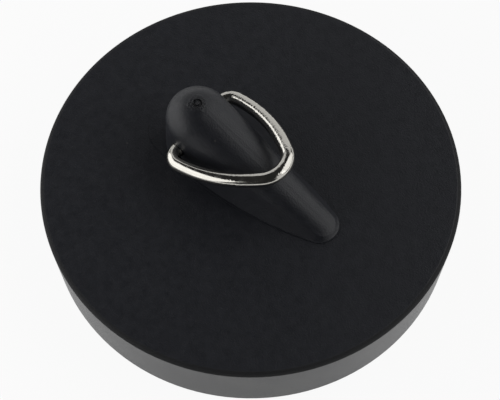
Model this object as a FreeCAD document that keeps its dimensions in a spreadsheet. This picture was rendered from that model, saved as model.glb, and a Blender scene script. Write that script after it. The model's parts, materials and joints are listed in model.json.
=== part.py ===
import FreeCAD, Part
import math
import os
import Sketcher

# Drain stopper: a moulded rubber plug and its triangular lifting ring of bent wire.
# Millimetres and degrees. The origin is the centre of the underside, +Z is up,
# and +X runs along the lug from its round head to its tail.

# Driving sizes: name, value, what it measures
SIZES = (
    ("top_diameter", 45.0, "disc across its upper edge"),
    ("bottom_diameter", 44.0, "disc across its lower edge"),
    ("disc_thickness", 8.4, "underside to top face"),
    ("top_edge_round", 0.5, "round along the disc's upper edge"),
    ("bottom_edge_bevel", 0.4, "bevel along the disc's lower edge"),
    ("head_setback", 6.95, "disc centre back to the middle of the lug's round head"),
    ("head_height", 4.8, "top face up to the middle of the round head"),
    ("head_radius", 3.55, "round of the head"),
    ("tail_reach", 8.75, "disc centre forward to the middle of the lug's round tail"),
    ("tail_depth", 2.1, "top face down to the middle of the round tail, which is cut off by the face"),
    ("tail_radius", 3.3, "round of the tail"),
    ("ridge_bow", 200.0, "bow of the ridge's two sides"),
    ("foot_setback", 9.5, "disc centre back to the middle of the mould step's round back"),
    ("foot_back_radius", 3.55, "round of the mould step's back"),
    ("foot_reach", 9.15, "disc centre forward to the middle of the mould step's round front"),
    ("foot_front_radius", 2.2, "round of the mould step's front"),
    ("foot_bow", 42.0, "bow of the mould step's two sides"),
    ("foot_step", 0.1, "height of the mould step"),
    ("foot_ledge", 0.12, "width of the mould step in front of the lug and beside it"),
    ("base_setback", 7.0, "disc centre back to the middle of the round back of the lug's base"),
    ("base_back_radius", 3.6, "round of the base's back"),
    ("base_bow", 41.0, "bow of the base's two sides"),
    ("head_seam_latitude", 6.0, "where the flank meets the round of the head"),
    ("tail_seam_latitude", 64.0, "where the flank meets the round of the tail"),
    ("crest_latitude", 87.0, "section along the top of the ridge"),
    ("gate_depth", 0.18, "depth of the gate mark on the head"),
    ("gate_radius", 0.5, "round of the gate mark"),
    ("gate_nub_radius", 0.22, "round of the nub in the gate mark"),
    ("hole_setback", 7.0, "disc centre back to the hole for the ring"),
    ("hole_height", 3.3, "top face up to the hole for the ring"),
    ("wire_diameter", 1.5, "round wire of the ring"),
    ("wire_clearance", 0.08, "room round the wire in its hole"),
    ("ring_side_gap", 0.15, "head's side to the bend of the ring"),
    ("ring_tilt", 15.74, "how far the ring's apex is up from level, as it stays in its snug hole"),
    ("ring_corner_radius", 1.3, "bend at each end of the ring's base"),
    ("ring_leg_radius", 15.6, "bow of the ring's legs"),
    ("ring_apex_radius", 2.6, "bend at the ring's apex"),
    ("ring_reach", 11.55, "hole to the apex, along the wire's centre line"),
    ("ring_end_gap", 0.4, "gap between the wire's ends inside the hole"),
)

# Sections up the lug: at even shares of its straight flank, then at even steps of latitude over its round
FLANK_SECTIONS = ("flank_first", "flank_second", "flank_third", "flank_fourth", "flank_fifth")
ROUND_SECTIONS = ("seam", "shoulder", "cheek", "temple", "brow", "crest")

# Sizes worked out from the driving ones
DERIVED = [
    ("bottom_radius", "bottom_diameter / 2"),
    ("top_radius", "top_diameter / 2"),
    ("foot_span", "foot_setback + foot_reach"),
    ("step_lift", "disc_thickness + foot_step"),
    ("base_span", "base_setback + foot_reach"),
    ("base_front_radius", "foot_front_radius - foot_ledge"),
    ("head_lift", "disc_thickness + head_height"),
    ("lug_run", "head_setback + tail_reach"),
    ("lug_drop", "head_height + tail_depth"),
    ("lug_axis", "sqrt(lug_run ^ 2 + lug_drop ^ 2)"),
    ("lug_slope", "atan(lug_drop / lug_run)"),
    ("head_latitude_step", "(crest_latitude - head_seam_latitude) / %d" % (len(ROUND_SECTIONS) - 1)),
    ("tail_latitude_step", "(crest_latitude - tail_seam_latitude) / %d" % (len(ROUND_SECTIONS) - 1)),
]
for place, section in enumerate(ROUND_SECTIONS):
    DERIVED += [
        (section + "_head_latitude", "head_seam_latitude + %d * head_latitude_step" % place),
        (section + "_tail_latitude", "tail_seam_latitude + %d * tail_latitude_step" % place),
        (section + "_head_rise", "head_radius * sin(%s_head_latitude)" % section),
        (section + "_tail_rise", "tail_radius * sin(%s_tail_latitude)" % section),
        (section + "_tilt", "lug_slope + asin(({0}_head_rise - {0}_tail_rise) / lug_axis)".format(section)),
        (section + "_setback", "head_setback - {0}_head_rise * sin({0}_tilt)".format(section)),
        (section + "_lift", "head_lift + {0}_head_rise * cos({0}_tilt)".format(section)),
        (section + "_span", "lug_axis * cos(%s_tilt - lug_slope)" % section),
        (section + "_back_radius", "head_radius * cos(%s_head_latitude)" % section),
        (section + "_front_radius", "tail_radius * cos(%s_tail_latitude)" % section),
    ]
DERIVED += [
    ("seam_reach", "seam_span * cos(seam_tilt) - seam_setback"),
    ("seam_drop", "seam_span * sin(seam_tilt)"),
]
for place, section in enumerate(FLANK_SECTIONS, start=1):
    share = "%d / %d" % (place, len(FLANK_SECTIONS) + 1)
    between = "{1} + %s * ({0} - {1})" % share
    DERIVED += [
        (section + "_setback", between.format("seam_setback", "base_setback")),
        (section + "_reach", between.format("seam_reach", "foot_reach")),
        (section + "_lift", between.format("seam_lift", "step_lift")),
        (section + "_run", "{0}_setback + {0}_reach".format(section)),
        (section + "_drop", "%s * seam_drop" % share),
        (section + "_tilt", "atan({0}_drop / {0}_run)".format(section)),
        (section + "_span", "sqrt({0}_run ^ 2 + {0}_drop ^ 2)".format(section)),
        (section + "_back_radius", between.format("seam_back_radius", "base_back_radius")),
        (section + "_front_radius", between.format("seam_front_radius", "base_front_radius")),
        (section + "_bow", "1 / ((1 - {0}) / base_bow + {0} / ridge_bow)".format(share)),
    ]
DERIVED += [
    ("gate_floor", "head_lift + head_radius - gate_depth"),
    ("gate_roof", "head_lift + head_radius + gate_depth"),
    ("hole_lift", "disc_thickness + hole_height"),
    ("hole_radius", "wire_diameter / 2 + wire_clearance"),
    ("wire_radius", "wire_diameter / 2"),
    ("half_end_gap", "ring_end_gap / 2"),
    ("half_base", "head_radius + ring_side_gap"),
    ("apex_centre", "ring_reach - ring_apex_radius"),
]

doc = FreeCAD.newDocument("drain_stopper")
sheet = doc.addObject("Spreadsheet::Sheet", "sizes")


def fill_sheet():
    """Writes the driving sizes and the formulas of the derived ones, each under its own alias."""
    rows = [(name, str(value), meaning) for name, value, meaning in SIZES]
    rows += [(name, "=" + formula, "worked out") for name, formula in DERIVED]
    for number, (name, content, meaning) in enumerate(rows, start=1):
        sheet.set("A%d" % number, meaning)
        sheet.set("B%d" % number, content)
        sheet.setAlias("B%d" % number, name)
    doc.recompute()


def size(name):
    """Present value of a named size."""
    return FreeCAD.Units.Quantity(sheet.get(name)).Value


def bind(thing, path, name, sign=""):
    """Ties a property to a named size."""
    thing.setExpression(path, sign + "sizes." + name)


def dimension(sketch, name, *constraint):
    """Adds a dimension to a sketch and ties it to a named size."""
    index = sketch.addConstraint(Sketcher.Constraint(*constraint, size(name)))
    bind(sketch, "Constraints[%d]" % index, name)


def relate(sketch, *constraints):
    """Adds constraints that have no size."""
    for constraint in constraints:
        sketch.addConstraint(Sketcher.Constraint(*constraint))


def new_sketch(body, name, plane):
    """Empty sketch on one of the body's own origin planes."""
    sketch = body.newObject("Sketcher::SketchObject", name)
    base = [feature for feature in body.Origin.OriginFeatures if feature.Role == plane]
    sketch.AttachmentSupport = [(base[0], "")]
    sketch.MapMode = "FlatFace"
    return sketch


def point(x, y):
    """Point in a sketch."""
    return FreeCAD.Vector(x, y, 0)


def circle(centre, radius):
    """Full circle in a sketch."""
    return Part.Circle(centre, FreeCAD.Vector(0, 0, 1), radius)


def arc(centre, start, end):
    """Arc about a centre, turning left from one point to the other."""
    spoke = start - centre
    first = math.atan2(spoke.y, spoke.x)
    last = math.atan2(end.y - centre.y, end.x - centre.x)
    if last <= first:
        last += 2 * math.pi
    return Part.ArcOfCircle(circle(centre, spoke.Length), first, last)


def bow_centre(first, first_radius, second, second_radius, bow):
    """Centre of the arc that wraps two circles on their left."""
    to_first = bow - first_radius
    to_second = bow - second_radius
    gap = second - first
    along = (to_first ** 2 - to_second ** 2 + gap.Length ** 2) / (2 * gap.Length)
    across = math.sqrt(to_first ** 2 - along ** 2)
    ahead = gap / gap.Length
    return first + ahead * along + point(ahead.y, -ahead.x) * across


def far_point(centre, radius, other):
    """Point of a circle on the far side from another point."""
    ray = centre - other
    return centre + ray / ray.Length * radius


def mirrored(spot):
    """Same point on the other side of the sketch's X axis."""
    return point(spot.x, -spot.y)


def closed_lines(sketch, corners):
    """Draws straight lines from corner to corner and back to the first."""
    lines = [sketch.addGeometry(Part.LineSegment(*ends)) for ends in zip(corners, corners[1:] + corners[:1])]
    for line, following in zip(lines, lines[1:] + lines[:1]):
        relate(sketch, ("Coincident", line, 2, following, 1))
    return lines


def long_oval(body, name, span, back_radius, front_radius, bow):
    """Oval along X, its back about the sketch's origin: two round ends and two bowed sides, all tangent."""
    sketch = new_sketch(body, name, "XY_Plane")
    back = point(0, 0)
    front = point(size(span), 0)
    bulge = bow_centre(back, size(back_radius), front, size(front_radius), size(bow))
    back_joint = far_point(back, size(back_radius), bulge)
    front_joint = far_point(front, size(front_radius), bulge)
    back_arc = sketch.addGeometry(arc(back, back_joint, mirrored(back_joint)))
    left_side = sketch.addGeometry(arc(bulge, front_joint, back_joint))
    front_arc = sketch.addGeometry(arc(front, mirrored(front_joint), front_joint))
    right_side = sketch.addGeometry(arc(mirrored(bulge), mirrored(back_joint), mirrored(front_joint)))
    relate(
        sketch,
        ("Tangent", back_arc, 1, left_side, 2),
        ("Tangent", left_side, 1, front_arc, 2),
        ("Tangent", front_arc, 1, right_side, 2),
        ("Tangent", right_side, 1, back_arc, 2),
        ("Coincident", back_arc, 3, -1, 1),
        ("PointOnObject", front_arc, 3, -1),
        ("Equal", left_side, right_side),
    )
    dimension(sketch, span, "DistanceX", -1, 1, front_arc, 3)
    dimension(sketch, back_radius, "Radius", back_arc)
    dimension(sketch, front_radius, "Radius", front_arc)
    dimension(sketch, bow, "Radius", left_side)
    return sketch


def place_oval(sketch, setback, lift, tilt=None):
    """Moves an oval's back to its place on the lug and, where asked, tips its front down."""
    if tilt:
        turn = FreeCAD.Rotation(FreeCAD.Vector(0, 1, 0), size(tilt))
        sketch.AttachmentOffset = FreeCAD.Placement(FreeCAD.Vector(), turn)
        bind(sketch, "AttachmentOffset.Rotation.Angle", tilt)
    bind(sketch, "AttachmentOffset.Base.x", setback, "-")
    bind(sketch, "AttachmentOffset.Base.z", lift)


def dress_edge(body, kind, name, upper):
    """Rounds or bevels the disc's upper or lower edge."""
    below = body.Tip
    middle = size("disc_thickness") / 2
    edges = []
    for number, edge in enumerate(below.Shape.Edges, start=1):
        if edge.isClosed() and (edge.CenterOfMass.z > middle) == upper:
            edges.append("Edge%d" % number)
    dressing = body.newObject(kind, name)
    dressing.Base = (below, edges)
    return dressing


fill_sheet()

# Rubber plug
plug = doc.addObject("PartDesign::Body", "plug_body")
plug.Label = "rubber_plug"

# Tapered disc, turned from half its section
half_section = new_sketch(plug, "disc_half_section", "XZ_Plane")
underside, wall, top_face, middle = closed_lines(half_section, [
    point(0, 0),
    point(size("bottom_radius"), 0),
    point(size("top_radius"), size("disc_thickness")),
    point(0, size("disc_thickness")),
])
relate(
    half_section,
    ("Coincident", underside, 1, -1, 1),
    ("Horizontal", underside),
    ("Horizontal", top_face),
    ("Vertical", middle),
)
dimension(half_section, "bottom_radius", "DistanceX", -1, 1, underside, 2)
dimension(half_section, "top_radius", "DistanceX", -1, 1, wall, 2)
dimension(half_section, "disc_thickness", "DistanceY", -1, 1, middle, 1)
disc = plug.newObject("PartDesign::Revolution", "disc")
disc.Profile = half_section
disc.ReferenceAxis = (half_section, ["V_Axis"])
disc.Angle = 360
doc.recompute()
upper_edge = dress_edge(plug, "PartDesign::Fillet", "upper_edge", True)
bind(upper_edge, "Radius", "top_edge_round")
doc.recompute()
lower_edge = dress_edge(plug, "PartDesign::Chamfer", "lower_edge", False)
bind(lower_edge, "Size", "bottom_edge_bevel")
doc.recompute()

# Mould step that the lug stands on
foot = long_oval(plug, "foot_outline", "foot_span", "foot_back_radius", "foot_front_radius", "foot_bow")
place_oval(foot, "foot_setback", "disc_thickness")
step = plug.newObject("PartDesign::Pad", "foot_pad")
step.Profile = foot
bind(step, "Length", "foot_step")
doc.recompute()

# Lug, lofted from the step up its flanks and over the round of the ridge
base = long_oval(plug, "base_outline", "base_span", "base_back_radius", "base_front_radius", "base_bow")
place_oval(base, "base_setback", "step_lift")
outlines = []
for section in FLANK_SECTIONS + ROUND_SECTIONS:
    bow = section + "_bow" if section in FLANK_SECTIONS else "ridge_bow"
    ends = (section + "_back_radius", section + "_front_radius")
    outline = long_oval(plug, section + "_outline", section + "_span", *ends, bow)
    place_oval(outline, section + "_setback", section + "_lift", section + "_tilt")
    outlines.append(outline)
lug = plug.newObject("PartDesign::AdditiveLoft", "lug")
lug.Profile = base
lug.Sections = outlines
doc.recompute()

# Gate mark on top of the head: a dimple about a nub
gate_section = new_sketch(plug, "gate_section", "XZ_Plane")
head_x = -size("head_setback")
axis_line = Part.LineSegment(point(head_x, 0), point(head_x, size("gate_roof")))
gate_axis = gate_section.addGeometry(axis_line, True)
floor, rim, roof, nub = closed_lines(gate_section, [
    point(head_x + size("gate_nub_radius"), size("gate_floor")),
    point(head_x + size("gate_radius"), size("gate_floor")),
    point(head_x + size("gate_radius"), size("gate_roof")),
    point(head_x + size("gate_nub_radius"), size("gate_roof")),
])
relate(
    gate_section,
    ("Vertical", gate_axis),
    ("PointOnObject", gate_axis, 1, -1),
    ("Horizontal", floor),
    ("Vertical", rim),
    ("Horizontal", roof),
    ("Vertical", nub),
)
dimension(gate_section, "head_setback", "DistanceX", gate_axis, 1, -1, 1)
dimension(gate_section, "gate_roof", "DistanceY", gate_axis, 1, gate_axis, 2)
dimension(gate_section, "gate_nub_radius", "DistanceX", gate_axis, 1, floor, 1)
dimension(gate_section, "gate_radius", "DistanceX", gate_axis, 1, floor, 2)
dimension(gate_section, "gate_floor", "DistanceY", -1, 1, floor, 1)
dimension(gate_section, "gate_roof", "DistanceY", -1, 1, roof, 1)
gate = plug.newObject("PartDesign::Groove", "gate_mark")
gate.Profile = gate_section
gate.ReferenceAxis = (gate_section, ["Axis0"])
gate.Angle = 360
doc.recompute()

# Cross hole for the ring
hole_outline = new_sketch(plug, "ring_hole_outline", "XZ_Plane")
hole_spot = point(-size("hole_setback"), size("hole_lift"))
hole_circle = hole_outline.addGeometry(circle(hole_spot, size("hole_radius")))
dimension(hole_outline, "hole_setback", "DistanceX", hole_circle, 3, -1, 1)
dimension(hole_outline, "hole_lift", "DistanceY", -1, 1, hole_circle, 3)
dimension(hole_outline, "hole_radius", "Radius", hole_circle)
hole = plug.newObject("PartDesign::Pocket", "ring_hole")
hole.Profile = hole_outline
hole.Type = "ThroughAll"
hole.SideType = "Symmetric"
doc.recompute()
for cut, before in ((gate, lug), (hole, gate)):
    if cut.Shape.Volume >= before.Shape.Volume:
        raise RuntimeError("%s cut nothing" % cut.Name)

# Lifting ring, drawn in its own plane: X towards the apex, Y along the hole
ring = doc.addObject("PartDesign::Body", "ring_body")
ring.Label = "triangle_ring"
route = new_sketch(ring, "ring_route", "XY_Plane")
corner = point(size("ring_corner_radius"), size("half_base"))
apex = point(size("apex_centre"), 0)
leg = bow_centre(corner, size("ring_corner_radius"), apex, size("ring_apex_radius"), size("ring_leg_radius"))
base_end = point(0, size("half_base"))
wire_end = point(0, size("half_end_gap"))
corner_joint = far_point(corner, size("ring_corner_radius"), leg)
apex_joint = far_point(apex, size("ring_apex_radius"), leg)
left_base = route.addGeometry(Part.LineSegment(wire_end, base_end))
left_corner = route.addGeometry(arc(corner, corner_joint, base_end))
left_leg = route.addGeometry(arc(leg, apex_joint, corner_joint))
apex_bend = route.addGeometry(arc(apex, mirrored(apex_joint), apex_joint))
right_leg = route.addGeometry(arc(mirrored(leg), mirrored(corner_joint), mirrored(apex_joint)))
right_corner = route.addGeometry(arc(mirrored(corner), mirrored(base_end), mirrored(corner_joint)))
right_base = route.addGeometry(Part.LineSegment(mirrored(base_end), mirrored(wire_end)))
relate(
    route,
    ("Tangent", left_base, 2, left_corner, 2),
    ("Tangent", left_corner, 1, left_leg, 2),
    ("Tangent", left_leg, 1, apex_bend, 2),
    ("Tangent", apex_bend, 1, right_leg, 2),
    ("Tangent", right_leg, 1, right_corner, 2),
    ("Tangent", right_corner, 1, right_base, 1),
    ("PointOnObject", left_base, 1, -2),
    ("PointOnObject", left_base, 2, -2),
    ("PointOnObject", right_base, 1, -2),
    ("PointOnObject", right_base, 2, -2),
    ("PointOnObject", apex_bend, 3, -1),
    ("Equal", left_corner, right_corner),
    ("Equal", left_leg, right_leg),
)
dimension(route, "half_end_gap", "DistanceY", -1, 1, left_base, 1)
dimension(route, "half_end_gap", "DistanceY", right_base, 2, -1, 1)
dimension(route, "half_base", "DistanceY", -1, 1, left_base, 2)
dimension(route, "half_base", "DistanceY", right_base, 1, -1, 1)
dimension(route, "ring_corner_radius", "Radius", left_corner)
dimension(route, "ring_leg_radius", "Radius", left_leg)
dimension(route, "ring_apex_radius", "Radius", apex_bend)
dimension(route, "apex_centre", "DistanceX", -1, 1, apex_bend, 3)
wire_section = new_sketch(ring, "wire_section", "XZ_Plane")
wire_circle = wire_section.addGeometry(circle(point(0, 0), size("wire_radius")))
relate(wire_section, ("Coincident", wire_circle, 3, -1, 1))
dimension(wire_section, "wire_radius", "Radius", wire_circle)
bind(wire_section, "AttachmentOffset.Base.z", "half_end_gap", "-")
wire = ring.newObject("PartDesign::AdditivePipe", "bent_wire")
wire.Profile = wire_section
wire.Spine = route
doc.recompute()

# The ring stays where it was left, its apex over the lug's ridge
lying = FreeCAD.Rotation(FreeCAD.Vector(0, -1, 0), size("ring_tilt"))
ring.Placement = FreeCAD.Placement(FreeCAD.Vector(), lying)
bind(ring, "Placement.Base.x", "hole_setback", "-")
bind(ring, "Placement.Base.z", "hole_lift")
bind(ring, "Placement.Rotation.Angle", "ring_tilt")
doc.recompute()

# Every object has to be sound before anything is written
for thing in doc.Objects:
    if "Invalid" in thing.State or "Error" in thing.State:
        raise RuntimeError("%s failed: %s" % (thing.Name, thing.State))
for body in (plug, ring):
    if body.Shape.isNull() or not body.Shape.isValid() or len(body.Shape.Solids) != 1:
        raise RuntimeError("%s is not one sound solid" % body.Label)
os.makedirs("parts", exist_ok=True)
for body in (plug, ring):
    body.Shape.exportStep("parts/%s.step" % body.Label)
    print("%s: %.1f mm3" % (body.Label, body.Shape.Volume))
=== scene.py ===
"""Drain stopper: the looks of its rubber plug and its lifting ring of plated wire, and their stage."""

import json
import math

import bpy
from bpy.props import FloatProperty, FloatVectorProperty, IntProperty, PointerProperty
from mathutils import Matrix, Vector


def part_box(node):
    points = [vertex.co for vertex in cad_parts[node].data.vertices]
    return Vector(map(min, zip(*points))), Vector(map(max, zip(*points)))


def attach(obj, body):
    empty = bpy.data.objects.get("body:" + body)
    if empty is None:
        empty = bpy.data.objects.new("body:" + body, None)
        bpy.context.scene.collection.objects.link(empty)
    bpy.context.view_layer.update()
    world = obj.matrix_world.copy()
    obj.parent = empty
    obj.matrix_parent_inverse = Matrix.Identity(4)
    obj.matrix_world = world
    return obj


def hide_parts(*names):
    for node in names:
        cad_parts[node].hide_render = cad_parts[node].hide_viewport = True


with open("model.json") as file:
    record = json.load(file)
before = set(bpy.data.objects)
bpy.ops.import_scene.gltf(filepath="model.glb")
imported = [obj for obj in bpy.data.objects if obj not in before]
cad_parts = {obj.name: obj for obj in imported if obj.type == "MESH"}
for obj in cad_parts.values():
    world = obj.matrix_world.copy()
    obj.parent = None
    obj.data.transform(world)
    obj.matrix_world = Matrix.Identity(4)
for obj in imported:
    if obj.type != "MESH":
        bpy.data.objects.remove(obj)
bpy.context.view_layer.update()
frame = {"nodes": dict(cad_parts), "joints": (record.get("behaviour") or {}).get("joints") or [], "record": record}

bl_info = {
    "name": "Drain stopper",
    "version": (1, 0, 0),
    "blender": (4, 5, 0),
    "location": "View3D > Sidebar > Drain Stopper",
    "description": "Dresses a rubber drain stopper with its lifting ring and sets its stage",
    "category": "Object",
}

# Places and sizes read from the frame
HINGE = Vector(frame["joints"][0]["pos_m"])
PLUG_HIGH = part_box("rubber_plug")[1]
RING_LOW, RING_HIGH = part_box("triangle_ring")
WIRE_RADIUS = HINGE.x - RING_LOW.x
RIM = next(mount for mount in frame["record"]["mounts"] if mount["name"] == "tapered_rim")
DISC_TOP = 2.0 * RIM["pos_m"][2]

# Sizes of the solids that the frame doesn't give
RING_REACH = 0.01155
RING_TILT = math.asin((RING_HIGH.z - WIRE_RADIUS - HINGE.z) / RING_REACH)
EDGE_ROUND = 0.0005
GATE_X = -0.00695
GATE = Vector((GATE_X, 0.0, PLUG_HIGH.z))
GATE_REACH = 0.001

# Widths of the marks round the gate, and the distances from it over which they fade
FLECK_SIZE = GATE_REACH / 5.0
BREAK_SIZE = GATE_REACH / 1.6
SCAR_FADE = (1.1 * GATE_REACH, 0.6 * GATE_REACH)
LIP_RISE = (0.7 * GATE_REACH, 0.95 * GATE_REACH)
LIP_FALL = (1.2 * GATE_REACH, 0.95 * GATE_REACH)

# Width over which the painted shade and roughness of the disc's edge, and the finish of the side wall, fade in
EDGE_FADE = 0.3 * EDGE_ROUND

# Values of each pattern between which its mark fades in
FLECK_FADE = (0.35, 0.65)
BREAK_FADE = (0.42, 0.62)
FILM_FADE = (0.35, 0.7)
SHEEN_FADE = (0.3, 0.7)
DUST_FADE = (0.42, 0.68)
SPECK_FADE = (0.09, 0.05)
SPECK_DRAW = (0.84, 0.86)
TONE_FADE = (0.3, 0.5)
SCUFF_FADE = (0.35, 0.7)
PIT_FADE = (0.5, 0.62)

# Angle past which the wire's edges stay sharp, and how near its points are merged, as a share of its radius
CREASE = math.radians(40.0)
MERGE_SHARE = 0.01

# What the lamps point at
LAMP_AIM = Vector((0.0, 0.0, 0.01))


class RubberPlugLooks(bpy.types.PropertyGroup):
    """Finish of the moulded rubber."""

    rubber_colour: FloatVectorProperty(
        name="Rubber colour", description="Carbon-black rubber, away from any film",
        subtype="COLOR", min=0.0, max=1.0, default=(0.0124, 0.0136, 0.0182))
    film_colour: FloatVectorProperty(
        name="Film colour", description="Rubber under the thin grey film that moulding leaves",
        subtype="COLOR", min=0.0, max=1.0, default=(0.0168, 0.0183, 0.0242))
    scar_colour: FloatVectorProperty(
        name="Scar colour", description="Torn rubber round the gate mark",
        subtype="COLOR", min=0.0, max=1.0, default=(0.0050, 0.0054, 0.0066))
    speck_colour: FloatVectorProperty(
        name="Speck colour", description="Tiny pale specks of dust",
        subtype="COLOR", min=0.0, max=1.0, default=(0.045, 0.045, 0.047))
    speck_gap: FloatProperty(
        name="Speck gap", description="Width of the scatter's cells, of which some hold a speck",
        unit="LENGTH", min=0.0002, max=0.02, precision=4, default=0.0016)
    # Painted shade: the disc's rounded upper edge is coloured darker than the rest of the rubber
    edge_shade_colour: FloatVectorProperty(
        name="Edge colour", description="Dull skin of the disc's rounded upper edge",
        subtype="COLOR", min=0.0, max=1.0, default=(0.0060, 0.0066, 0.0082))
    dust_colour: FloatVectorProperty(
        name="Dust colour", description="Pale dust of moulding on the side wall",
        subtype="COLOR", min=0.0, max=1.0, default=(0.062, 0.065, 0.062))
    dust_size: FloatProperty(
        name="Dust size", description="Width of the dust's patches",
        unit="LENGTH", min=0.0002, max=0.02, precision=4, default=0.0045)
    edge_roughness: FloatProperty(
        name="Edge roughness", description="Roughness of the disc's rounded upper edge",
        subtype="FACTOR", min=0.0, max=1.0, default=0.75)
    wall_roughness: FloatProperty(
        name="Wall roughness", description="Roughness of the smoother side wall",
        subtype="FACTOR", min=0.0, max=1.0, default=0.24)
    bare_roughness: FloatProperty(
        name="Bare roughness", description="Roughness of the skin away from any film",
        subtype="FACTOR", min=0.0, max=1.0, default=0.40)
    film_roughness: FloatProperty(
        name="Film roughness", description="Roughness of the skin under the film",
        subtype="FACTOR", min=0.0, max=1.0, default=0.50)
    refraction: FloatProperty(
        name="Refraction", description="Refractive index of the rubber", min=1.0, max=3.0, default=1.5)
    film_size: FloatProperty(
        name="Film size", description="Width of the film's patches",
        unit="LENGTH", min=0.0001, max=0.02, precision=4, default=0.0009)
    scar_depth: FloatProperty(
        name="Scar depth", description="Height of the uneven skin round the gate mark",
        unit="LENGTH", min=0.0, max=0.0005, precision=6, default=0.00004)
    grain_size: FloatProperty(
        name="Grain size", description="Width of one grain of the matt moulded skin",
        unit="LENGTH", min=0.00002, max=0.002, precision=5, default=0.00017)
    grain_depth: FloatProperty(
        name="Grain depth", description="Depth of the matt grain",
        unit="LENGTH", min=0.0, max=0.0002, precision=6, default=0.000026)
    wave_size: FloatProperty(
        name="Wave size", description="Width of the faint unevenness of the skin",
        unit="LENGTH", min=0.0005, max=0.02, precision=4, default=0.005)
    wave_depth: FloatProperty(
        name="Wave depth", description="Depth of the faint unevenness",
        unit="LENGTH", min=0.0, max=0.0005, precision=6, default=0.00002)


class TriangleRingSizes(bpy.types.PropertyGroup):
    """Bends and finish of the lifting ring."""

    wire_radius: FloatProperty(
        name="Wire radius", description="Half the thickness of the wire",
        unit="LENGTH", min=0.0003, max=0.003, precision=5, default=WIRE_RADIUS)
    half_base: FloatProperty(
        name="Half base", description="Middle of the ring to where its base starts to bend",
        unit="LENGTH", min=0.001, max=0.02, precision=5, default=0.0037)
    half_gap: FloatProperty(
        name="Half gap", description="Middle of the ring to each cut end of the wire, inside the hole",
        unit="LENGTH", min=0.00005, max=0.002, precision=5, default=0.0002)
    corner_radius: FloatProperty(
        name="Corner radius", description="Bend at each end of the base",
        unit="LENGTH", min=0.0005, max=0.01, precision=5, default=0.0013)
    leg_radius: FloatProperty(
        name="Leg radius", description="Bow of the two legs",
        unit="LENGTH", min=0.005, max=0.2, precision=5, default=0.0156)
    apex_radius: FloatProperty(
        name="Apex radius", description="Bend at the apex",
        unit="LENGTH", min=0.0005, max=0.01, precision=5, default=0.0026)
    reach: FloatProperty(
        name="Reach", description="Hole to apex along the wire's middle line",
        unit="LENGTH", min=0.003, max=0.05, precision=5, default=RING_REACH)
    tilt: FloatProperty(
        name="Tilt", description="Rise of the ring, held by its snug hole a little above the lug",
        subtype="ANGLE", min=0.0, max=math.pi, default=RING_TILT)
    plating_colour: FloatVectorProperty(
        name="Plating colour", description="Bright warm nickel plating",
        subtype="COLOR", min=0.0, max=1.0, default=(0.72, 0.70, 0.65))
    dull_colour: FloatVectorProperty(
        name="Dull colour", description="Plating in the drawn lines",
        subtype="COLOR", min=0.0, max=1.0, default=(0.55, 0.53, 0.48))
    line_share: FloatProperty(
        name="Line share", description="Width of a drawn line, as a share of the wire's radius",
        subtype="FACTOR", min=0.01, max=1.0, default=1.0 / 9.0)
    line_depth: FloatProperty(
        name="Line depth", description="Depth of the drawn lines",
        unit="LENGTH", min=0.0, max=0.0001, precision=6, default=0.0000036)
    scuff_size: FloatProperty(
        name="Scuff size", description="Width of the duller scuffs",
        unit="LENGTH", min=0.00005, max=0.01, precision=5, default=0.00067)
    pit_size: FloatProperty(
        name="Pit size", description="Width of the tiny marks that the bending tool left",
        unit="LENGTH", min=0.00002, max=0.002, precision=5, default=0.00022)
    pit_depth: FloatProperty(
        name="Pit depth", description="Depth of those marks",
        unit="LENGTH", min=0.0, max=0.0001, precision=6, default=0.000025)
    patch_size: FloatProperty(
        name="Patch size", description="Width of the patches that hold such marks",
        unit="LENGTH", min=0.0002, max=0.02, precision=4, default=0.003)
    plating_roughness: FloatProperty(
        name="Plating roughness", description="Roughness of the bright plating",
        subtype="FACTOR", min=0.0, max=1.0, default=0.08)
    scuff_roughness: FloatProperty(
        name="Scuff roughness", description="Roughness of the plating in the scuffs",
        subtype="FACTOR", min=0.0, max=1.0, default=0.2)
    section_points: IntProperty(
        name="Section points", description="Points round the wire", min=12, max=128, default=64)
    corner_steps: IntProperty(
        name="Corner steps", description="Steps round each corner of the base", min=4, max=100, default=14)
    bend_steps: IntProperty(
        name="Bend steps", description="Steps along each leg and round the apex", min=4, max=200, default=28)


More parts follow.
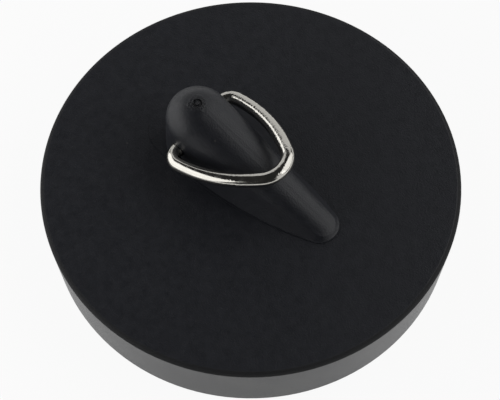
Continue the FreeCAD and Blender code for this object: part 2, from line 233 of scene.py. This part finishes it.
class StageSettings(bpy.types.PropertyGroup):
    """Camera, floor and room."""

    azimuth: FloatProperty(
        name="Azimuth", description="Camera's turn round the plug from straight in front",
        subtype="ANGLE", default=math.radians(38.31))
    elevation: FloatProperty(
        name="Elevation", description="Camera's height above the horizon",
        subtype="ANGLE", default=math.radians(63.30))
    roll: FloatProperty(
        name="Roll", description="Camera's lean to one side",
        subtype="ANGLE", default=math.radians(0.33))
    distance: FloatProperty(
        name="Distance", description="Camera to what it looks at",
        unit="LENGTH", min=0.02, max=5.0, default=0.16875)
    near_clip: FloatProperty(
        name="Near clip", description="Distance before which the camera sees nothing",
        unit="LENGTH", min=0.0001, max=0.1, default=0.01)
    aim: FloatVectorProperty(
        name="Aim", description="What the camera looks at",
        subtype="TRANSLATION", default=(0.001634, -0.002214, 0.0084))
    lens: FloatProperty(
        name="Lens", description="Focal length in millimetres", min=10.0, max=500.0, default=114.8)
    floor_colour: FloatVectorProperty(
        name="Floor colour", description="Plain pale floor",
        subtype="COLOR", min=0.0, max=1.0, default=(0.9, 0.9, 0.9))
    floor_roughness: FloatProperty(
        name="Floor roughness", description="Roughness of the floor",
        subtype="FACTOR", min=0.0, max=1.0, default=0.9)
    floor_size: FloatProperty(
        name="Floor size", description="Width of the square floor",
        unit="LENGTH", min=0.5, max=50.0, default=6.0)
    floor_drop: FloatProperty(
        name="Floor drop", description="Gap that keeps the floor out of the plug's underside",
        unit="LENGTH", min=0.0, max=0.001, precision=6, default=0.00002)
    floor_seen: FloatProperty(
        name="Floor seen", description="Share of plain white in the floor, as the eye sees it",
        subtype="FACTOR", min=0.0, max=1.0, default=0.93)
    floor_mirrored: FloatProperty(
        name="Floor mirrored", description="Share of plain white in the floor, as reflections see it",
        subtype="FACTOR", min=0.0, max=1.0, default=0.42)
    room_light: FloatProperty(
        name="Room light", description="Brightness of the room beyond the lamps, where 1 is white",
        min=0.0, max=1.0, default=0.02)


# Small helpers

def deselect_all():
    """Leaves nothing selected, so that an operator acts on the new piece alone."""
    bpy.ops.object.select_all(action="DESELECT")


def add_node(tree, kind, place, sockets=(), **settings):
    """New node with its settings and the values of its unlinked sockets."""
    node = tree.nodes.new(kind)
    node.location = place
    for name, value in settings.items():
        setattr(node, name, value)
    for name, value in sockets:
        node.inputs[name].default_value = value
    return node


def new_material(name):
    """Empty procedural material with its main shader."""
    material = bpy.data.materials.new(name)
    material.use_nodes = True
    return material, material.node_tree, material.node_tree.nodes["Principled BSDF"]


def spread(tree, source, place, low, high, start=0.0, end=1.0):
    """Value that runs from start to end while the source runs from low to high."""
    node = add_node(
        tree, "ShaderNodeMapRange", place,
        [("From Min", low), ("From Max", high), ("To Min", start), ("To Max", end)])
    tree.links.new(source, node.inputs["Value"])
    return node.outputs["Result"]


def product(tree, place, first, second):
    """Product of two values."""
    node = add_node(tree, "ShaderNodeMath", place, operation="MULTIPLY")
    tree.links.new(first, node.inputs[0])
    tree.links.new(second, node.inputs[1])
    return node.outputs["Value"]


def noise(tree, spot, place, width, detail, roughness):
    """Noise whose patches are about as wide as told."""
    node = add_node(
        tree, "ShaderNodeTexNoise", place,
        [("Scale", 1.0 / width), ("Detail", detail), ("Roughness", roughness)])
    tree.links.new(spot, node.inputs["Vector"])
    return node.outputs["Fac"]


def blend_colours(tree, place, share, first, second):
    """Colour between two, each a fixed colour or the result of another blend."""
    node = add_node(tree, "ShaderNodeMix", place, data_type="RGBA")
    tree.links.new(share, node.inputs["Factor"])
    for name, colour in (("A", first), ("B", second)):
        if isinstance(colour, bpy.types.NodeSocket):
            tree.links.new(colour, node.inputs[name])
        else:
            node.inputs[name].default_value = (*colour, 1.0)
    return node.outputs["Result"]


def blend_values(tree, place, share, first, second):
    """Value between one that varies and a fixed one."""
    node = add_node(tree, "ShaderNodeMix", place, [("B", second)], data_type="FLOAT")
    tree.links.new(share, node.inputs["Factor"])
    tree.links.new(first, node.inputs["A"])
    return node.outputs["Result"]


def relief(tree, place, height, depth, under=None):
    """Bump of a given depth, laid over another where one is under it."""
    node = add_node(tree, "ShaderNodeBump", place, [("Strength", 1.0), ("Distance", depth)])
    tree.links.new(height, node.inputs["Height"])
    if under is not None:
        tree.links.new(under, node.inputs["Normal"])
    return node.outputs["Normal"]


# Rubber plug

def gate_scar(tree, spot):
    """Uneven skin round the gate mark on the head, and the faint broken ring about it."""
    apart = add_node(tree, "ShaderNodeVectorMath", (-1150, 900), operation="DISTANCE")
    tree.links.new(spot, apart.inputs[0])
    apart.inputs[1].default_value = GATE
    away = apart.outputs["Value"]
    flecks = noise(tree, spot, (-1150, 1100), FLECK_SIZE, detail=2.0, roughness=0.5)
    patch = product(
        tree, (-600, 1000),
        spread(tree, away, (-900, 1000), *SCAR_FADE),
        spread(tree, flecks, (-900, 1200), *FLECK_FADE))
    lip = product(
        tree, (-600, 800),
        spread(tree, away, (-900, 800), *LIP_RISE),
        spread(tree, away, (-900, 600), *LIP_FALL))
    breaks = noise(tree, spot, (-1150, 1300), BREAK_SIZE, detail=2.0, roughness=0.5)
    ring = product(tree, (-400, 800), lip, spread(tree, breaks, (-600, 650), *BREAK_FADE))
    return patch, ring


def dust_specks(tree, spot, looks):
    """Few tiny specks, one in some of the cells of an even scatter."""
    scatter = add_node(tree, "ShaderNodeTexVoronoi", (-1150, 1500), [("Scale", 1.0 / looks.speck_gap)])
    tree.links.new(spot, scatter.inputs["Vector"])
    dots = spread(tree, scatter.outputs["Distance"], (-900, 1500), *SPECK_FADE)
    chosen = spread(tree, scatter.outputs["Color"], (-900, 1700), *SPECK_DRAW)
    return product(tree, (-600, 1500), dots, chosen)


def rim_shares(tree, spot):
    """Shares of the disc's rounded upper edge and of the side wall below it."""
    flat = add_node(tree, "ShaderNodeVectorMath", (-1350, 550), operation="MULTIPLY")
    tree.links.new(spot, flat.inputs[0])
    flat.inputs[1].default_value = (1.0, 1.0, 0.0)
    reach = add_node(tree, "ShaderNodeVectorMath", (-1150, 550), operation="LENGTH")
    tree.links.new(flat.outputs["Vector"], reach.inputs[0])
    parts = add_node(tree, "ShaderNodeSeparateXYZ", (-1150, 400))
    tree.links.new(spot, parts.inputs["Vector"])
    height = parts.outputs["Z"]
    start = PLUG_HIGH.x - EDGE_ROUND
    seam = DISC_TOP - EDGE_ROUND
    edge = product(
        tree, (-600, 550),
        spread(tree, reach.outputs["Value"], (-900, 550), start, start + EDGE_FADE),
        spread(tree, height, (-900, 400), seam - EDGE_FADE, seam))
    wall = spread(tree, height, (-900, 250), seam, seam - EDGE_FADE)
    return edge, wall


def rubber_material(looks):
    """Matt black rubber: grain, unevenness, film, rough edge with painted shade, dusty wall, the gate's scar and a
    few specks.
    """
    material, tree, shader = new_material("black_rubber")
    link = tree.links.new
    spot = add_node(tree, "ShaderNodeTexCoord", (-1600, 0)).outputs["Object"]
    film = noise(tree, spot, (-1150, 200), looks.film_size, detail=6.0, roughness=0.7)
    grain = noise(tree, spot, (-1150, -100), looks.grain_size, detail=2.0, roughness=0.55)
    wave = noise(tree, spot, (-1150, -350), looks.wave_size, detail=3.0, roughness=0.5)
    scar, scar_ring = gate_scar(tree, spot)
    edge, wall = rim_shares(tree, spot)
    cloud = noise(tree, spot, (-1150, -600), looks.dust_size, detail=6.0, roughness=0.75)
    dust = product(tree, (-600, -600), wall, spread(tree, cloud, (-900, -600), *DUST_FADE))
    specks = dust_specks(tree, spot, looks)
    filmed = spread(tree, film, (-900, 200), *FILM_FADE)
    colour = blend_colours(tree, (-600, 300), filmed, looks.rubber_colour, looks.film_colour)
    # Painted shade darkens the disc's rounded upper edge
    colour = blend_colours(tree, (-500, 300), edge, colour, looks.edge_shade_colour)
    colour = blend_colours(tree, (-450, 300), dust, colour, looks.dust_colour)
    colour = blend_colours(tree, (-400, 300), scar, colour, looks.scar_colour)
    colour = blend_colours(tree, (-200, 300), specks, colour, looks.speck_colour)
    link(colour, shader.inputs["Base Color"])
    roughness = spread(tree, film, (-600, 50), *SHEEN_FADE, looks.bare_roughness, looks.film_roughness)
    roughness = blend_values(tree, (-400, 50), edge, roughness, looks.edge_roughness)
    roughness = blend_values(tree, (-200, 50), wall, roughness, looks.wall_roughness)
    link(roughness, shader.inputs["Roughness"])
    shader.inputs["IOR"].default_value = looks.refraction
    normal = relief(tree, (-600, -300), wave, looks.wave_depth)
    normal = relief(tree, (-450, -300), scar, looks.scar_depth, normal)
    normal = relief(tree, (-300, -300), scar_ring, looks.scar_depth, normal)
    normal = relief(tree, (-150, -300), grain, looks.grain_depth, normal)
    link(normal, shader.inputs["Normal"])
    return material


class STOPPER_OT_rubber_plug(bpy.types.Operator):
    """Gives the moulded plug its rubber"""

    bl_idname = "stopper.rubber_plug"
    bl_label = "Rubber Plug"

    def execute(self, context):
        plug = frame["nodes"]["rubber_plug"]
        rubber = rubber_material(context.scene.stopper_plug)
        for slot in plug.material_slots:
            slot.material = rubber
        return {"FINISHED"}


# Lifting ring

def plated_material(sizes):
    """Bright plated wire with fine drawn lines along it, dull scuffs and patches of tiny marks."""
    material, tree, shader = new_material("plated_wire")
    link = tree.links.new
    heading = add_node(tree, "ShaderNodeAttribute", (-1400, 0), attribute_name="wire_round")
    spot = add_node(tree, "ShaderNodeTexCoord", (-1400, -300)).outputs["Object"]
    drawn = noise(tree, heading.outputs["Vector"], (-900, 0), sizes.line_share, detail=4.0, roughness=0.6)
    scuff = noise(tree, spot, (-900, -300), sizes.scuff_size, detail=4.0, roughness=0.5)
    tone = spread(tree, drawn, (-700, 200), *TONE_FADE)
    colour = blend_colours(tree, (-500, 200), tone, sizes.dull_colour, sizes.plating_colour)
    link(colour, shader.inputs["Base Color"])
    roughness = spread(
        tree, scuff, (-500, -100), *SCUFF_FADE, sizes.plating_roughness, sizes.scuff_roughness)
    link(roughness, shader.inputs["Roughness"])
    shader.inputs["Metallic"].default_value = 1.0
    patches = noise(tree, spot, (-900, -750), sizes.patch_size, detail=1.0, roughness=0.5)
    pits = product(
        tree, (-500, -500),
        noise(tree, spot, (-900, -500), sizes.pit_size, detail=1.0, roughness=0.5),
        spread(tree, patches, (-700, -750), *PIT_FADE))
    grooves = relief(tree, (-300, -300), drawn, sizes.line_depth)
    link(relief(tree, (-100, -300), pits, sizes.pit_depth, grooves), shader.inputs["Normal"])
    return material


def ring_bends(sizes):
    """Centre, turn and steps of each bend in the ring's own plane, from one base corner to the other."""
    corner = Vector((sizes.corner_radius, sizes.half_base))
    apex = Vector((sizes.reach - sizes.apex_radius, 0.0))
    gap = apex - corner
    to_corner = sizes.leg_radius - sizes.corner_radius
    to_apex = sizes.leg_radius - sizes.apex_radius
    along = (to_corner ** 2 - to_apex ** 2 + gap.length ** 2) / (2.0 * gap.length)
    across = math.sqrt(to_corner ** 2 - along ** 2)
    ahead = gap.normalized()
    leg = corner + ahead * along + Vector((ahead.y, -ahead.x)) * across
    corner_heading = math.atan2(corner.y - leg.y, corner.x - leg.x)
    apex_heading = math.atan2(apex.y - leg.y, apex.x - leg.x)
    far_corner = Vector((corner.x, -corner.y))
    far_leg = Vector((leg.x, -leg.y))
    return [
        (corner, math.pi - corner_heading, sizes.corner_steps),
        (leg, corner_heading - apex_heading, sizes.bend_steps),
        (apex, 2.0 * apex_heading, sizes.bend_steps),
        (far_leg, corner_heading - apex_heading, sizes.bend_steps),
        (far_corner, math.pi - corner_heading, sizes.corner_steps),
    ]


def mark_round(mesh, centre):
    """Notes on each point of the first section which way round the wire it lies."""
    heading = mesh.attributes.new("wire_round", "FLOAT_VECTOR", "POINT")
    for vertex, note in zip(mesh.vertices, heading.data):
        note.vector = (vertex.co - centre).normalized()


def bend_wire(sizes):
    """Draws the wire out of its hole, round both corners, legs and the apex, and back into the hole."""
    deselect_all()
    start = Vector((0.0, sizes.half_gap, 0.0))
    bpy.ops.mesh.primitive_circle_add(
        vertices=sizes.section_points, radius=sizes.wire_radius,
        location=start, rotation=(math.pi / 2.0, 0.0, 0.0))
    ring = bpy.context.object
    ring.name = "lifting_ring"
    ring.data.name = "lifting_ring"
    bpy.ops.object.transform_apply()
    mark_round(ring.data, start)
    run = sizes.half_base - sizes.half_gap
    bpy.ops.object.mode_set(mode="EDIT")
    bpy.ops.mesh.select_all(action="SELECT")
    bpy.ops.mesh.extrude_region_move(TRANSFORM_OT_translate={"value": (0.0, run, 0.0)})
    for centre, turn, steps in ring_bends(sizes):
        bpy.ops.mesh.spin(steps=steps, angle=turn, center=(centre.x, centre.y, 0.0), axis=(0.0, 0.0, 1.0))
    bpy.ops.mesh.extrude_region_move(TRANSFORM_OT_translate={"value": (0.0, run, 0.0)})
    bpy.ops.mesh.select_all(action="SELECT")
    bpy.ops.mesh.remove_doubles(threshold=MERGE_SHARE * sizes.wire_radius)
    bpy.ops.mesh.select_all(action="DESELECT")
    bpy.ops.mesh.select_non_manifold()
    bpy.ops.mesh.fill_holes(sides=0)
    bpy.ops.mesh.select_all(action="SELECT")
    bpy.ops.mesh.normals_make_consistent(inside=False)
    bpy.ops.object.mode_set(mode="OBJECT")
    return ring


class STOPPER_OT_triangle_ring(bpy.types.Operator):
    """Bends the lifting ring from one length of wire and plates it"""

    bl_idname = "stopper.triangle_ring"
    bl_label = "Lifting Ring"

    def execute(self, context):
        sizes = context.scene.stopper_ring
        ring = bend_wire(sizes)
        ring.rotation_euler = (0.0, -sizes.tilt, 0.0)
        ring.location = HINGE
        bpy.ops.object.transform_apply()
        bpy.ops.object.shade_smooth_by_angle(angle=CREASE)
        ring.data.materials.append(plated_material(sizes))
        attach(ring, "ring")
        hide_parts("triangle_ring")
        return {"FINISHED"}


# Stage

def towards(azimuth, elevation, distance):
    """Place at a turn from straight in front, a rise above the horizon and a distance from the origin."""
    flat = math.cos(elevation) * distance
    return Vector((math.sin(azimuth) * flat, -math.cos(azimuth) * flat, math.sin(elevation) * distance))


def softbox(name, azimuth, elevation, distance, width, depth, brightness):
    """Rectangular lamp of an even brightness, where 1 is white, turned to the middle of the plug."""
    place = towards(math.radians(azimuth), math.radians(elevation), distance)
    lamp = bpy.data.lights.new(name, "AREA")
    lamp.shape = "RECTANGLE"
    lamp.size = width
    lamp.size_y = depth
    lamp.energy = brightness * math.pi * width * depth
    stand = bpy.data.objects.new(name, lamp)
    bpy.context.scene.collection.objects.link(stand)
    stand.visible_camera = False
    stand.location = place
    stand.rotation_euler = (LAMP_AIM - place).to_track_quat("-Z", "Y").to_euler()


def hang_lamps():
    """Large key lamp on the camera's right with a small one before it, one on its left and one opposite."""
    softbox(
        "key_lamp", azimuth=138.0, elevation=36.0, distance=0.7,
        width=0.875, depth=0.8, brightness=1.15)
    softbox(
        "right_lamp", azimuth=90.0, elevation=22.0, distance=0.4,
        width=0.25, depth=0.3, brightness=0.6)
    softbox(
        "left_lamp", azimuth=-49.0, elevation=24.0, distance=0.13,
        width=0.245, depth=0.11, brightness=1.35)
    softbox(
        "back_lamp", azimuth=-140.0, elevation=22.0, distance=0.25,
        width=0.4, depth=0.18, brightness=0.55)


def floor_material(stage):
    """Pale floor that stays white to the eye, shows dimmer in reflections and keeps a faint shadow."""
    material, tree, shader = new_material("pale_floor")
    link = tree.links.new
    shader.inputs["Base Color"].default_value = (*stage.floor_colour, 1.0)
    shader.inputs["Roughness"].default_value = stage.floor_roughness
    path = add_node(tree, "ShaderNodeLightPath", (-700, 300))
    mirrored = add_node(tree, "ShaderNodeMath", (-450, 200), operation="MAXIMUM")
    link(path.outputs["Is Glossy Ray"], mirrored.inputs[0])
    link(path.outputs["Is Transmission Ray"], mirrored.inputs[1])
    dimmed = add_node(tree, "ShaderNodeMath", (-250, 200), [(1, stage.floor_mirrored)], operation="MULTIPLY")
    link(mirrored.outputs["Value"], dimmed.inputs[0])
    seen = add_node(tree, "ShaderNodeMath", (-250, 400), [(1, stage.floor_seen)], operation="MULTIPLY")
    link(path.outputs["Is Camera Ray"], seen.inputs[0])
    share = add_node(tree, "ShaderNodeMath", (-50, 300), operation="MAXIMUM")
    link(seen.outputs["Value"], share.inputs[0])
    link(dimmed.outputs["Value"], share.inputs[1])
    white = add_node(tree, "ShaderNodeEmission", (-50, 100), [("Strength", 1.0)])
    mixed = add_node(tree, "ShaderNodeMixShader", (300, 200))
    link(share.outputs["Value"], mixed.inputs["Fac"])
    link(shader.outputs["BSDF"], mixed.inputs[1])
    link(white.outputs["Emission"], mixed.inputs[2])
    link(mixed.outputs["Shader"], tree.nodes["Material Output"].inputs["Surface"])
    return material


def studio_world(stage):
    """Dim room beyond the lamps."""
    world = bpy.data.worlds.new("studio")
    world.use_nodes = True
    room = world.node_tree.nodes["Background"]
    room.inputs["Color"].default_value = (1.0, 1.0, 1.0, 1.0)
    room.inputs["Strength"].default_value = stage.room_light
    bpy.context.scene.world = world


def lay_floor(stage):
    """Wide floor just under the plug."""
    deselect_all()
    bpy.ops.mesh.primitive_plane_add(size=stage.floor_size, location=(0.0, 0.0, -stage.floor_drop))
    floor = bpy.context.object
    floor.name = "floor"
    floor.data.materials.append(floor_material(stage))


def set_camera(stage):
    """Camera at its distance from what it looks at, with its axes right, up and back."""
    back = towards(stage.azimuth, stage.elevation, 1.0)
    right = Vector((0.0, 0.0, 1.0)).cross(back).normalized()
    upright = Matrix((right, back.cross(right), back)).transposed()
    turn = upright @ Matrix.Rotation(-stage.roll, 3, "Z")
    camera = bpy.data.objects.new("camera", bpy.data.cameras.new("camera"))
    bpy.context.scene.collection.objects.link(camera)
    camera.data.lens = stage.lens
    camera.data.sensor_fit = "HORIZONTAL"
    camera.data.clip_start = stage.near_clip
    camera.matrix_world = Matrix.Translation(Vector(stage.aim) + back * stage.distance) @ turn.to_4x4()
    bpy.context.scene.camera = camera


class STOPPER_OT_stage(bpy.types.Operator):
    """Lays the floor, hangs the lamps and sets the camera"""

    bl_idname = "stopper.stage"
    bl_label = "Stage"

    def execute(self, context):
        stage = context.scene.stopper_stage
        lay_floor(stage)
        studio_world(stage)
        hang_lamps()
        set_camera(stage)
        context.scene.view_settings.view_transform = "Standard"
        return {"FINISHED"}


class STOPPER_PT_panel(bpy.types.Panel):
    """Lists the stopper's pieces and their sizes"""

    bl_idname = "STOPPER_PT_panel"
    bl_label = "Drain Stopper"
    bl_space_type = "VIEW_3D"
    bl_region_type = "UI"
    bl_category = "Drain Stopper"

    def draw(self, context):
        scene = context.scene
        for group, operator in (
            (scene.stopper_plug, STOPPER_OT_rubber_plug),
            (scene.stopper_ring, STOPPER_OT_triangle_ring),
            (scene.stopper_stage, STOPPER_OT_stage),
        ):
            box = self.layout.box()
            box.operator(operator.bl_idname)
            for name in group.__annotations__:
                box.prop(group, name)


CLASSES = (
    RubberPlugLooks,
    TriangleRingSizes,
    StageSettings,
    STOPPER_OT_rubber_plug,
    STOPPER_OT_triangle_ring,
    STOPPER_OT_stage,
    STOPPER_PT_panel,
)


def register():
    """Adds the classes and the groups of sizes to Blender."""
    for added in CLASSES:
        bpy.utils.register_class(added)
    bpy.types.Scene.stopper_plug = PointerProperty(type=RubberPlugLooks)
    bpy.types.Scene.stopper_ring = PointerProperty(type=TriangleRingSizes)
    bpy.types.Scene.stopper_stage = PointerProperty(type=StageSettings)


def unregister():
    """Takes the groups and the classes out again."""
    del bpy.types.Scene.stopper_stage
    del bpy.types.Scene.stopper_ring
    del bpy.types.Scene.stopper_plug
    for added in reversed(CLASSES):
        bpy.utils.unregister_class(added)


def main():
    """Builds the pieces and the stage in order."""
    register()
    bpy.ops.stopper.rubber_plug()
    bpy.ops.stopper.triangle_ring()
    bpy.ops.stopper.stage()


if __name__ == "__main__":
    main()
